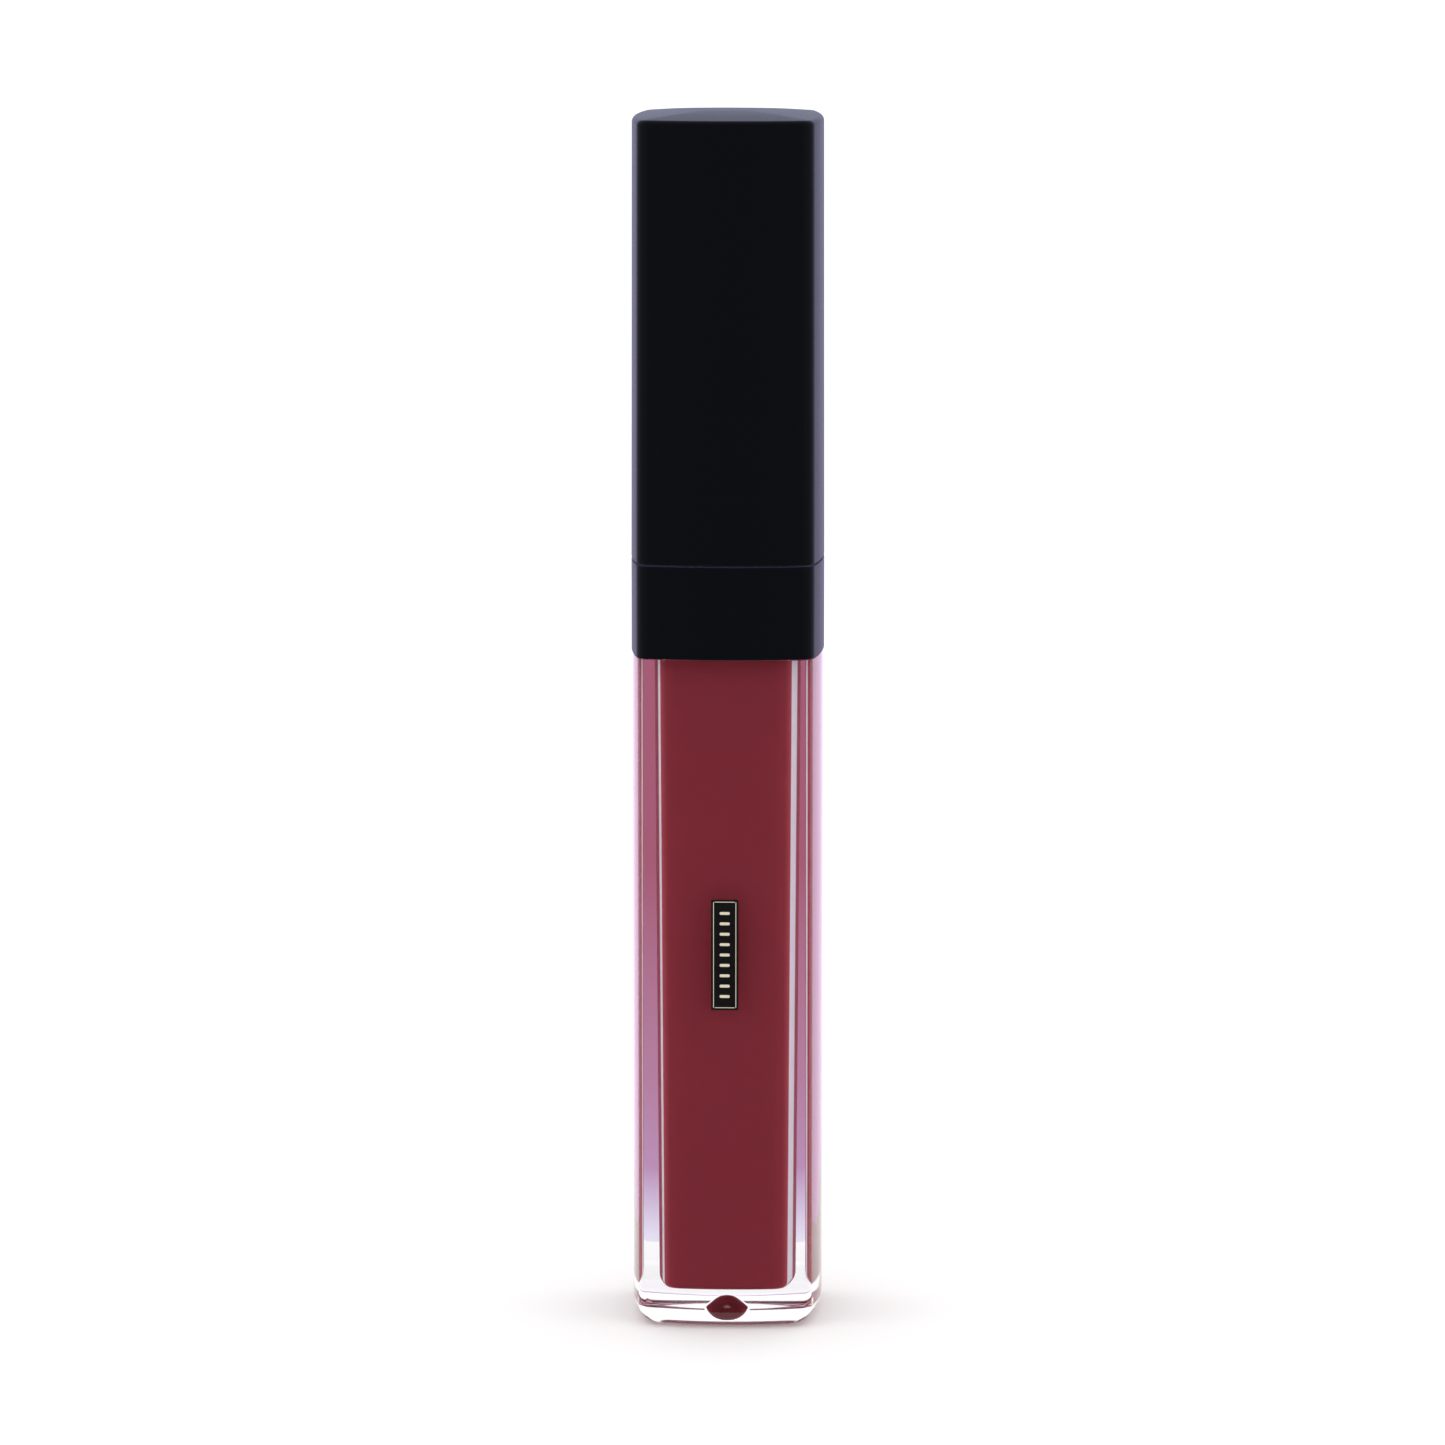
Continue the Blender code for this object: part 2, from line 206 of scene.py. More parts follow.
def smooth(piece):
    """Welds the slivers that cuts leave, then shades the piece smooth across soft edges."""
    edit(piece)
    merge_close()
    leave(piece)
    bpy.ops.object.shade_smooth_by_angle(angle=SOFT_EDGE)
    apply_modifier(piece, "WEIGHTED_NORMAL", keep_sharp=True)
    print(f"{piece.name}: {len(piece.data.polygons)} faces")
    return piece


# %% [markdown]
# ## The square outline
# The bottle, collar and cap share one section: four faces that bulge slightly, and four
# small round corners. A square with bevelled corners would have dead flat faces. Spinning
# a point draws true arcs instead: once about the far centre of each face arc, then about
# the near centre of the corner, four times round.


# %% Draw the bulged square
def spin(angle, x, y, steps):
    bpy.ops.mesh.spin(steps=steps, angle=-angle, center=(x * MM, y * MM, 0), axis=(0, 0, 1))


def outline(name, half, height, corner=CORNER_RADIUS):
    """A filled bulged square at one height, open in edit mode with its face selected."""
    centre = half - FACE_RADIUS
    corner_out = (centre + math.sqrt(2 * (FACE_RADIUS - corner) ** 2 - centre**2)) / 2
    tangent = math.atan2(corner_out, corner_out - centre)
    first = (centre + FACE_RADIUS * math.cos(tangent), -FACE_RADIUS * math.sin(tangent))
    piece = start_point(name, *first, height)
    for side in range(4):
        turn = math.pi / 2 * side
        spin(2 * tangent, centre * math.cos(turn), centre * math.sin(turn), FACE_STEPS)
        diagonal = turn + math.pi / 4
        away = corner_out * math.sqrt(2)
        spin(
            math.pi / 2 - 2 * tangent,
            away * math.cos(diagonal),
            away * math.sin(diagonal),
            CORNER_STEPS,
        )
    merge_close()
    bpy.ops.mesh.edge_face_add()
    return piece


def bar(name, half, bottom, top, corner=CORNER_RADIUS, top_half=None):
    """A bulged-square bar between two heights, slightly tapered if top_half is given."""
    piece = outline(name, half, bottom, corner)
    extrude(z=top - bottom)
    if top_half:
        scale(top_half / half, top_half / half)
    merge_close()
    return leave(piece)


def round_edges(piece, height, radius, segments):
    """Rounds the ring of edges that lies at one height."""
    edit(piece, "EDGE")
    heights = [v.co.z / MM for v in piece.data.vertices]
    pick(
        piece,
        "EDGE",
        lambda middle, edge: all(abs(heights[i] - height) < WELD for i in edge.vertices),
    )
    bpy.ops.mesh.bevel(offset=radius * MM, segments=segments, affect="EDGES")
    leave(piece)


# %% [markdown]
# ## Turned pieces
# The neck, wiper, stem and inner cap are round. Each starts as a profile drawn point by
# point, its corners are softened with a vertex bevel, and it is spun once round.


# %% Turn a profile
def turned(name, profile, soften=0.08, closed=True, steps=TURN_STEPS):
    """Spins a profile of (radius, height) points about the tube's axis."""
    radius, height = profile[0]
    piece = start_point(name, radius, 0, height)
    for next_radius, next_height in profile[1:]:
        extrude(next_radius - radius, 0, next_height - height)
        radius, height = next_radius, next_height
    bpy.ops.mesh.select_all(action="SELECT")
    if closed:
        ends = [Vector((radius, 0, height)) for radius, height in (profile[0], profile[-1])]
        pick(piece, "VERT", lambda co, v: min((co - end).length for end in ends) < WELD)
        bpy.ops.mesh.edge_face_add()
    if soften:
        pick(piece, "VERT", lambda co, v: co.x > 0.01)
        bpy.ops.mesh.bevel(offset=soften * MM, segments=3, affect="VERTICES")
    bpy.ops.mesh.select_all(action="SELECT")
    bpy.ops.mesh.spin(steps=steps, angle=2 * math.pi, center=(0, 0, 0), axis=(0, 0, 1))
    merge_close()
    return leave(piece)


# %% [markdown]
# ## Finishes
# Every finish is a Principled shader. What is the same all over, such as how clear or how
# metallic the stuff is, is set straight on the shader. What varies, such as grain, comes
# from noise laid out in object space, so it is the same size on every piece.


# %% Material helpers
def new_finish(name, colour, roughness, **sockets):
    finish = bpy.data.materials.new(name)
    finish.use_nodes = True
    shader = finish.node_tree.nodes["Principled BSDF"]
    shader.inputs["Base Color"].default_value = (*colour, 1.0)
    shader.inputs["Roughness"].default_value = roughness
    for socket, value in sockets.items():
        shader.inputs[socket.replace("_", " ")].default_value = value
    return finish


def add_node(finish, kind, **settings):
    node = finish.node_tree.nodes.new(kind)
    for name, value in settings.items():
        if name in node.inputs:
            node.inputs[name].default_value = value
        else:
            setattr(node, name, value)
    return node


def link(finish, source, output, target, socket):
    finish.node_tree.links.new(source.outputs[output], target.inputs[socket])


def shader_of(finish):
    return finish.node_tree.nodes["Principled BSDF"]


def grain(finish, size, height, detail=3.0, stretch=(1, 1, 1)):
    """Fine bump from noise of about the given size in millimetres."""
    place = add_node(finish, "ShaderNodeTexCoord")
    fit = add_node(finish, "ShaderNodeMapping")
    fit.inputs["Scale"].default_value = [part / (size * MM) for part in stretch]
    noise = add_node(finish, "ShaderNodeTexNoise", Scale=1.0, Detail=detail)
    bump = add_node(finish, "ShaderNodeBump", Strength=1.0, Distance=height * MM)
    link(finish, place, "Object", fit, "Vector")
    link(finish, fit, "Vector", noise, "Vector")
    link(finish, noise, "Fac", bump, "Height")
    link(finish, bump, "Normal", shader_of(finish), "Normal")
    return noise


def vary(finish, noise, socket, low, high):
    """Lets a noise drive a grey value of the shader between two limits."""
    span = add_node(finish, "ShaderNodeMapRange")
    span.inputs["From Min"].default_value = 0.3
    span.inputs["From Max"].default_value = 0.7
    span.inputs["To Min"].default_value = low
    span.inputs["To Max"].default_value = high
    link(finish, noise, "Fac", span, "Value")
    link(finish, span, "Result", shader_of(finish), socket)


def add_ramp(finish, stops):
    """A colour ramp through the given stops, each a position and a colour."""
    ramp = add_node(finish, "ShaderNodeValToRGB")
    elements = ramp.color_ramp.elements
    elements[0].position, elements[1].position = stops[0][0], stops[-1][0]
    elements[0].color, elements[1].color = (*stops[0][1], 1), (*stops[-1][1], 1)
    for position, colour in stops[1:-1]:
        elements.new(position).color = (*colour, 1)
    return ramp


def wear(piece, finish):
    """Takes off the piece's finishes and gives it one."""
    piece.data.materials.clear()
    piece.data.materials.append(finish)


# %% [markdown]
# ## The clear bottle
# The real bottle is moulded in thick clear plastic: a solid foot, a square well for the
# gloss and a narrower square spigot that the collar slips over. It is built as one bar,
# the spigot is drawn from its top face, and the well is cut out of it, because only the
# well has a section of its own. A bevel would round the foot alike all the way round. Here
# the bottom face is extruded ring by ring instead, with a full round at the front and sides
# and a tight one at the back: a full round there would mirror the dark gloss right across
# the clear foot. The mould's gate leaves a small lens-shaped dimple underneath.

# %% Model the bottle
FOOT_ROUND, FOOT_RINGS = 2.1, 14
BACK_TIGHT, BACK_TURN = 0.3, math.radians(30)
WELL_FLOOR = level("product_fill", 0) - FRAME_GAP
WELL_HALF_LOW, WELL_HALF_HIGH, WELL_CORNER, WELL_ROUND = 5.6, 6.0, 1.4, 0.5
DIMPLE = [(0, 1.9), (0.5, 1.83), (0.95, 1.58), (1.95, 0.8), (1.95, -0.5), (0, -0.5)]
SPIGOT_HALF = 7.2
SPIGOT_TOP = level("bottle", 1)


def front_inset(height):
    """How far the foot's front and side edges draw in at a height: a quarter circle."""
    return FOOT_ROUND - math.sqrt(FOOT_ROUND**2 - (FOOT_ROUND - height) ** 2)


def back_inset(height):
    """The back edge's inset: a long shallow arc, then a tight one from 30 degrees on."""
    change = BACK_TIGHT * (1 - math.sin(BACK_TURN))
    long_radius = (FOOT_ROUND - change) / math.sin(BACK_TURN)
    if height >= change:
        return long_radius - math.sqrt(long_radius**2 - (FOOT_ROUND - height) ** 2)
    along = math.asin(1 - height / BACK_TIGHT)
    shallow = long_radius * (1 - math.cos(BACK_TURN))
    return shallow + BACK_TIGHT * (math.cos(BACK_TURN) - math.cos(along))


bottle = bar("clear_bottle", BOTTLE_HALF, level("bottle", 0) + FOOT_ROUND, SHOULDER)
edit(bottle)
pick(bottle, "FACE", lambda middle, face: face.normal.z < -0.9)
before, front_before, back_before = FOOT_ROUND, 0.0, 0.0
for ring in range(1, FOOT_RINGS + 1):
    height = FOOT_ROUND * (1 - math.sin(math.pi / 2 * ring / FOOT_RINGS))
    front, back = front_inset(height), back_inset(height)
    extrude(y=((front - back) - (front_before - back_before)) / 2, z=height - before)
    scale(
        (BOTTLE_HALF - front) / (BOTTLE_HALF - front_before),
        (2 * BOTTLE_HALF - front - back) / (2 * BOTTLE_HALF - front_before - back_before),
    )
    before, front_before, back_before = height, front, back
pick(bottle, "FACE", lambda middle, face: face.normal.z > 0.9)
draw_in(SPIGOT_HALF / BOTTLE_HALF)
extrude(z=SPIGOT_TOP - SHOULDER)
leave(bottle)
well = bar("well", WELL_HALF_LOW, WELL_FLOOR, SPIGOT_TOP + 1, WELL_CORNER, WELL_HALF_HIGH)
round_edges(well, WELL_FLOOR, WELL_ROUND, 4)
join_or_cut(bottle, "DIFFERENCE", well)
join_or_cut(bottle, "DIFFERENCE", turned("dimple", DIMPLE, soften=0.12, closed=False))
smooth(bottle)

# %% Give the bottle its clear plastic
clear_plastic = new_finish(
    "clear_plastic", (0.975, 0.98, 1.0), 0.0, Transmission_Weight=1.0, IOR=1.53
)
wear(bottle, clear_plastic)
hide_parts("bottle")
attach(bottle, "bottle")

# %% [markdown]
# ## The gloss
# The gloss wets the well's walls, so no air lies between them and no bright skin shows at
# a slant. The liquid is made a hair bigger than the well for that reason: its surface
# then lies just inside the plastic. The brighter red and the thin pale line along each
# corner are painted reflections: a Layer Weight node measures the slant at which the eye
# meets the surface, and a colour ramp turns it into the deep red, a brighter red and the
# thin pale line along each corner, all painted into the gloss's colour.

# %% Model the gloss
WET = 0.02
HOLLOW_RADIUS, HOLLOW_FLOOR = 2.4, 5.4
# The brighter reds and the pale line are painted reflections, chosen by the slant of view.
GLOSS_RED, PAINTED_BRIGHT_RED, PAINTED_GRAZING_RED = (0.27, 0.036, 0.050), (0.44, 0.075, 0.095), (0.42, 0.09, 0.13)
PAINTED_PALE_LINE = (0.98, 0.92, 1.0)
FILL_TOP = level("product_fill", 1)
rise = (FILL_TOP - WELL_FLOOR) / (SPIGOT_TOP + 1 - WELL_FLOOR)
fill_top_half = WELL_HALF_LOW + (WELL_HALF_HIGH - WELL_HALF_LOW) * rise + WET
gloss = bar(
    "gloss", WELL_HALF_LOW + WET, WELL_FLOOR - WET, FILL_TOP, WELL_CORNER + WET, fill_top_half
)
round_edges(gloss, WELL_FLOOR - WET, WELL_ROUND, 4)
hollow = turned(
    "hollow",
    [(0, FILL_TOP + 1), (HOLLOW_RADIUS, FILL_TOP + 1), (HOLLOW_RADIUS, HOLLOW_FLOOR),
     (0, HOLLOW_FLOOR)],
    soften=0, closed=False,
)
join_or_cut(gloss, "DIFFERENCE", hollow)
smooth(gloss)

red_gloss = new_finish("red_gloss", GLOSS_RED, 0.5, Specular_IOR_Level=0.02)
slant = add_node(red_gloss, "ShaderNodeLayerWeight", Blend=0.5)
# Painted reflection: this ramp lightens the gloss at a slant and paints a pale line along each
# corner.
painted_rim_ramp = add_ramp(
    red_gloss,
    [(0.0, GLOSS_RED), (0.20, GLOSS_RED), (0.55, PAINTED_BRIGHT_RED), (0.74, (0.50, 0.090, 0.110)),
     (0.79, PAINTED_PALE_LINE), (0.872, PAINTED_PALE_LINE), (0.886, PAINTED_GRAZING_RED), (1.0, PAINTED_GRAZING_RED)],
)
link(red_gloss, slant, "Facing", painted_rim_ramp, "Fac")
link(red_gloss, painted_rim_ramp, "Color", shader_of(red_gloss), "Base Color")
wear(gloss, red_gloss)
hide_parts("product_fill")
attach(gloss, "bottle")

# %% [markdown]
# ## The black collar and cap
# Both are moulded sleeves with a soft-touch coat: almost no shine from straight on, a grey
# bloom where light grazes them. The shader's sheen gives that bloom, and its shine is kept
# close to nothing. The cap's top is a shallow dome: its flat face is drawn in and lifted
# ring by ring, then smoothed, because one bevel could not reach across the whole top.

# %% Soft-touch black
soft_black = new_finish(
    "soft_black", (0.003, 0.0035, 0.0045), 0.42, Specular_IOR_Level=0.03,
    Sheen_Weight=0.24, Sheen_Roughness=0.35, Sheen_Tint=(0.46, 0.54, 1.0, 1),
)
grain_noise = grain(soft_black, 0.12, 0.004)
vary(soft_black, grain_noise, "Roughness", 0.38, 0.48)

# %% Model the collar
EDGE_ROUND = 0.12
SLEEVE_WALL = 1.1
SLEEVE_CORNER, INSIDE_CORNER = 1.4, 0.6
LEDGE = 1.2
OPENING_RADIUS = 6.25
COLLAR_LOW = SHOULDER + 0.05

collar = bar("collar_sleeve", COLLAR_HALF, COLLAR_LOW, COLLAR_TOP, SLEEVE_CORNER)
round_edges(collar, COLLAR_TOP, EDGE_ROUND, 3)
round_edges(collar, COLLAR_LOW, EDGE_ROUND, 3)
inside = bar(
    "inside", COLLAR_HALF - SLEEVE_WALL, SHOULDER - 1, COLLAR_TOP - LEDGE, INSIDE_CORNER
)
join_or_cut(collar, "DIFFERENCE", inside)
opening = turned(
    "opening",
    [(0, COLLAR_TOP + 1), (OPENING_RADIUS, COLLAR_TOP + 1), (OPENING_RADIUS, SHOULDER),
     (0, SHOULDER)],
    soften=0, closed=False,
)
join_or_cut(collar, "DIFFERENCE", opening)
smooth(collar)
wear(collar, soft_black)
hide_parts("collar")
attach(collar, "bottle")

# %% Model the cap sleeve
CAP_EDGE_ROUND = 0.5
CROWN, CROWN_RINGS = 0.55, 12
ROOF_DROP = 1.7
CAP_HALF_LOW, CAP_HALF_HIGH = COLLAR_HALF, 8.6
CAP_LOW = CAP_BOTTOM - 0.15

cap = bar(
    "cap_sleeve", CAP_HALF_LOW, CAP_LOW, CAP_TOP - CROWN, SLEEVE_CORNER, CAP_HALF_HIGH
)
round_edges(cap, CAP_TOP - CROWN, CAP_EDGE_ROUND, 5)
round_edges(cap, CAP_LOW, EDGE_ROUND, 3)
edit(cap)
pick(cap, "FACE", lambda middle, face: face.normal.z > 0.99)
for ring in range(1, CROWN_RINGS):
    draw_in((CROWN_RINGS - ring) / (CROWN_RINGS - ring + 1))
    move(z=CROWN * (2 * (CROWN_RINGS - ring) + 1) / CROWN_RINGS**2)
pick(cap, "VERT", lambda co, v: co.z > CAP_TOP - CROWN + 0.05)
bpy.ops.mesh.vertices_smooth(factor=0.5, repeat=24)
leave(cap)
inside = bar(
    "inside", CAP_HALF - SLEEVE_WALL, CAP_BOTTOM - 1, CAP_TOP - ROOF_DROP, INSIDE_CORNER
)
join_or_cut(cap, "DIFFERENCE", inside)
smooth(cap)
wear(cap, soft_black)
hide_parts("cap_shell")
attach(cap, "cap")

# %% [markdown]
# ## The front label
# A small dark panel is printed on the bottle's front. Its printed wording is replaced by a
# plain frame and a column of dashes. Thin plates do this best: a flat rectangle, its four
# corners bevelled, then given the thickness of a film of ink.


# %% A thin upright plate
def plate(name, x, z, width, height, front, back, corner):
    """A rounded rectangle facing -Y, centred on x and z, between two depths."""
    piece = start_point(name, x - width / 2, front, z - height / 2)
    extrude(x=width)
    bpy.ops.mesh.select_all(action="SELECT")
    extrude(z=height)
    bpy.ops.mesh.select_all(action="SELECT")
    bpy.ops.mesh.bevel(offset=corner * MM, segments=4, affect="VERTICES")
    bpy.ops.mesh.select_all(action="SELECT")
    extrude(y=back - front)
    merge_close()
    return leave(piece)


def join(pieces, name):
    """Joins separate pieces into one object."""
    bpy.ops.object.select_all(action="DESELECT")
    for piece in pieces:
        piece.select_set(True)
    bpy.context.view_layer.objects.active = pieces[0]
    bpy.ops.object.join()
    pieces[0].name = pieces[0].data.name = name
    return pieces[0]


# %% Model the label and its marks
label_low, label_high = (corner / MM for corner in map(Vector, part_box("front_label")))
LABEL_WIDTH, LABEL_HEIGHT = label_high.x - label_low.x, label_high.z - label_low.z
LABEL_MIDDLE = (label_high.z + label_low.z) / 2
INK = 0.01
FRAME_MARGIN, FRAME_LINE = 0.22, 0.06
DASHES, DASH_PITCH, DASH_WIDTH, DASH_HEIGHT = 9, 0.95, 0.9, 0.26

label = plate(
    "label_panel", 0, LABEL_MIDDLE, LABEL_WIDTH, LABEL_HEIGHT, label_low.y, label_high.y, 0.05
)
smooth(label)
label_ink = new_finish("label_ink", (0.004, 0.004, 0.005), 0.4)
vary(label_ink, grain(label_ink, 0.25, 0.001), "Roughness", 0.34, 0.5)
wear(label, label_ink)
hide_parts("front_label")
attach(label, "bottle")

marks = []
for direction in (-1, 1):
    marks.append(
        plate(
            "line", direction * (LABEL_WIDTH / 2 - FRAME_MARGIN), LABEL_MIDDLE, FRAME_LINE,
            LABEL_HEIGHT - 2 * FRAME_MARGIN, label_low.y - INK, label_low.y, 0.02,
        )
    )
    marks.append(
        plate(
            "line", 0, LABEL_MIDDLE + direction * (LABEL_HEIGHT / 2 - FRAME_MARGIN),
            LABEL_WIDTH - 3 * FRAME_MARGIN, FRAME_LINE, label_low.y - INK, label_low.y, 0.02,
        )
    )
for dash in range(DASHES):
    height = LABEL_MIDDLE + (dash - (DASHES - 1) / 2) * DASH_PITCH
    marks.append(
        plate("dash", 0, height, DASH_WIDTH, DASH_HEIGHT, label_low.y - INK, label_low.y, 0.1)
    )
label_marks = smooth(join(marks, "label_marks"))
ivory_ink = new_finish("ivory_ink", (0.62, 0.56, 0.42), 0.5)
vary(ivory_ink, grain(ivory_ink, 0.2, 0.001), "Roughness", 0.42, 0.6)
wear(label_marks, ivory_ink)
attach(label_marks, "bottle")

# %% [markdown]
# ## Threads
# A screw thread is a small trapezoid carried round and up. The Screw modifier does just
# that. Real threads run out to nothing at both ends, so the first and last few slices are
# drawn back into the wall they grow from.


# %% Wind a thread
THREAD_STEPS, RUN_OUT = 72, 6
THREAD_LEAD, THREAD_START = 3.0, 72.0
HALF_ROOT, HALF_CREST = 0.45, 0.2


def thread(name, root, crest, start, turns, clockwise=0.0):
    """A trapezoid ridge from root to crest radius, wound up anticlockwise, then turned."""
    slices = round(turns * THREAD_STEPS)
    piece = start_point(name, root, 0, start - HALF_ROOT)
    extrude(crest - root, 0, HALF_ROOT - HALF_CREST)
    extrude(0, 0, 2 * HALF_CREST)
    extrude(root - crest, 0, HALF_ROOT - HALF_CREST)
    pick(piece, "VERT", lambda co, v: abs(co.x - root) < WELD)
    bpy.ops.mesh.edge_face_add()
    leave(piece)
    apply_modifier(
        piece, "SCREW", angle=2 * math.pi * turns, screw_offset=THREAD_LEAD * turns * MM, axis="Z",
        steps=slices, render_steps=slices, use_merge_vertices=False,
    )
    edit(piece, "EDGE")
    bpy.ops.mesh.select_non_manifold()
    bpy.ops.mesh.fill_holes(sides=0)
    leave(piece)
    edit(piece, "VERT")
    for end in range(RUN_OUT):
        share = (RUN_OUT - end) / RUN_OUT
        for ring in (end, slices - end):
            angle = 2 * math.pi * turns * ring / slices
            height = start + THREAD_LEAD * turns * ring / slices
            found = pick(
                piece, "VERT",
                lambda co, v: abs(co.x * math.sin(angle) - co.y * math.cos(angle)) < 0.02
                and co.x * math.cos(angle) + co.y * math.sin(angle) > 0
                and abs(co.z - height) < HALF_ROOT + 0.1
                and abs(math.hypot(co.x, co.y) - crest) < 0.02,
            )
            if found:
                factor = 1 + (root - crest) / crest * 0.9 * share
                bpy.ops.transform.resize(value=(factor, factor, 1), center_override=(0, 0, 0))
    merge_close()
    leave(piece)
    if clockwise:
        edit(piece, "VERT")
        bpy.ops.mesh.select_all(action="SELECT")
        # With no window open, a positive angle turns clockwise seen from above.
        bpy.ops.transform.rotate(value=clockwise, orient_axis="Z", center_override=(0, 0, 0))
        leave(piece)
    return piece


# %% [markdown]
# ## The neck
# Natural polypropylene: a plug with a soft lead-in that seals in the well, a flange that
# sits on the spigot, and a round neck with the outer thread.

# %% Model the neck
NECK_RADIUS, NECK_BORE = 5.4, 4.2
NECK_TOP = level("neck_insert", 1)
PLUG_BOTTOM = level("neck_insert", 0)
FLANGE_BOTTOM = SPIGOT_TOP + FRAME_GAP
FLANGE_TOP = FLANGE_BOTTOM + 1.1
FLANGE_ROUND = 0.15
OVERLAP = 0.4
PLUG_TIP, PLUG_HALF, PLUG_CORNER, PLUG_TAPER = 5.25, 5.6, 0.9, 1.2
MOUTH = 0.3

neck = bar("threaded_neck", SPIGOT_HALF, FLANGE_BOTTOM, FLANGE_TOP)
round_edges(neck, FLANGE_TOP, FLANGE_ROUND, 3)
round_edges(neck, FLANGE_BOTTOM, FLANGE_ROUND, 3)
plug = bar("plug", PLUG_TIP, PLUG_BOTTOM, PLUG_BOTTOM + PLUG_TAPER, PLUG_CORNER, PLUG_HALF)
edit(plug)
pick(plug, "FACE", lambda middle, face: face.normal.z > 0.9)
extrude(z=FLANGE_BOTTOM + OVERLAP - PLUG_BOTTOM - PLUG_TAPER)
leave(plug)
join_or_cut(neck, "UNION", plug)
tube = turned(
    "tube",
    [(0, NECK_TOP), (NECK_RADIUS - 0.2, NECK_TOP), (NECK_RADIUS, NECK_TOP - 0.4),
     (NECK_RADIUS, FLANGE_TOP - OVERLAP), (0, FLANGE_TOP - OVERLAP)],
    closed=False,
)
join_or_cut(neck, "UNION", tube)
join_or_cut(neck, "UNION", thread("ridge", NECK_RADIUS - 0.1, 5.92, THREAD_START, 1.25))
bore = turned(
    "bore",
    [(0, NECK_TOP + 1), (NECK_BORE + MOUTH, NECK_TOP + 1), (NECK_BORE + MOUTH, NECK_TOP - 0.02),
     (NECK_BORE, NECK_TOP - 0.35), (NECK_BORE, PLUG_BOTTOM - 1), (0, PLUG_BOTTOM - 1)],
    soften=0.0, closed=False,
)
join_or_cut(neck, "DIFFERENCE", bore)
smooth(neck)
natural = new_finish(
    "natural_plastic", (0.72, 0.70, 0.66), 0.38, Subsurface_Weight=0.3, Subsurface_Scale=0.001
)
vary(natural, grain(natural, 0.5, 0.004), "Roughness", 0.3, 0.45)
wear(neck, natural)
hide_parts("neck_insert")
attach(neck, "bottle")

# %% [markdown]
# ## The wiper
# A soft funnel snaps into the neck. Two beads hold it, and its thin lower lip scrapes the
# wand. It is a single turned profile.

# %% Model the wiper
WIPER_LOW, WIPER_TOP = level("wiper", 0), level("wiper", 1)
RIM, OUTSIDE, BEAD_OUT, INSIDE = 5.0, 3.9, 4.05, 3.3
BEADS = (77.4, 74.9)
FUNNEL_TOP, LIP_OUT, LIP_IN = 71.5, 2.75, 2.3

funnel = [(3.55, WIPER_TOP), (RIM, WIPER_TOP), (RIM, WIPER_TOP - 0.7), (OUTSIDE, WIPER_TOP - 0.7)]
for bead in BEADS:
    funnel += [(OUTSIDE, bead), (BEAD_OUT, bead - 0.3), (BEAD_OUT, bead - 0.7), (OUTSIDE, bead - 1)]
funnel += [
    (OUTSIDE, FUNNEL_TOP), (LIP_OUT, WIPER_LOW), (LIP_IN, WIPER_LOW), (INSIDE, FUNNEL_TOP + 0.2),
    (INSIDE, WIPER_TOP - 0.3),
]
wiper = turned("wiper_funnel", funnel)
smooth(wiper)
soft_white = new_finish(
    "soft_white", (0.78, 0.76, 0.72), 0.5, Subsurface_Weight=0.4, Subsurface_Scale=0.001
)
vary(soft_white, grain(soft_white, 0.3, 0.003), "Roughness", 0.44, 0.58)
wear(wiper, soft_white)
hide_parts("wiper")
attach(wiper, "wiper_seal")

# %% [markdown]
# ## The inner cap
# The square sleeve is only a cover. A threaded black inner cap is pushed up inside it. Four
# ribs above its roof and four fins at its corners stop it from turning in the sleeve. Its
# thread has the neck's lead and lies half a lead away from the neck's ridge all the way
# round, so that the two run past each other without touching.

# %% Model the inner cap
SKIRT_RADIUS, CAP_BORE = 7.2, 6.25
SKIRT_BOTTOM, ROOF, DISC_TOP = level("inner_cap", 0), 82.1, 83.6
BOSS_TOP, BOSS_RADIUS = level("inner_cap", 1), 3.4
STEM_HOLE = 1.9
FEMALE_DROP = 0.6
RIB_WIDTH, RIB_HEIGHT, FIN_WIDTH = 0.9, 2.7, 0.8

inner_cap = turned(
    "threaded_inner_cap",
    [(BOSS_RADIUS, BOSS_TOP), (BOSS_RADIUS, DISC_TOP), (SKIRT_RADIUS, DISC_TOP),
     (SKIRT_RADIUS, SKIRT_BOTTOM), (CAP_BORE + 0.15, SKIRT_BOTTOM),
     (CAP_BORE, SKIRT_BOTTOM + 0.4), (CAP_BORE, ROOF), (STEM_HOLE, ROOF), (STEM_HOLE, BOSS_TOP)],
)
female_start = THREAD_START + THREAD_LEAD / 2 - FEMALE_DROP
join_or_cut(
    inner_cap, "UNION",
    thread("ridge", CAP_BORE + 0.1, 5.73, female_start, 1.0,
           clockwise=2 * math.pi * FEMALE_DROP / THREAD_LEAD),
)


def fin(name, inner, outer, thickness, bottom, top, turn):
    """An upright fin that stands out from the axis at an angle."""
    piece = plate(
        name, (inner + outer) / 2, (bottom + top) / 2, outer - inner, top - bottom,
        -thickness / 2, thickness / 2, 0.15,
    )
    edit(piece, "VERT")
    bpy.ops.mesh.select_all(action="SELECT")
    bpy.ops.transform.rotate(value=turn, orient_axis="Z", center_override=(0, 0, 0))
    return leave(piece)


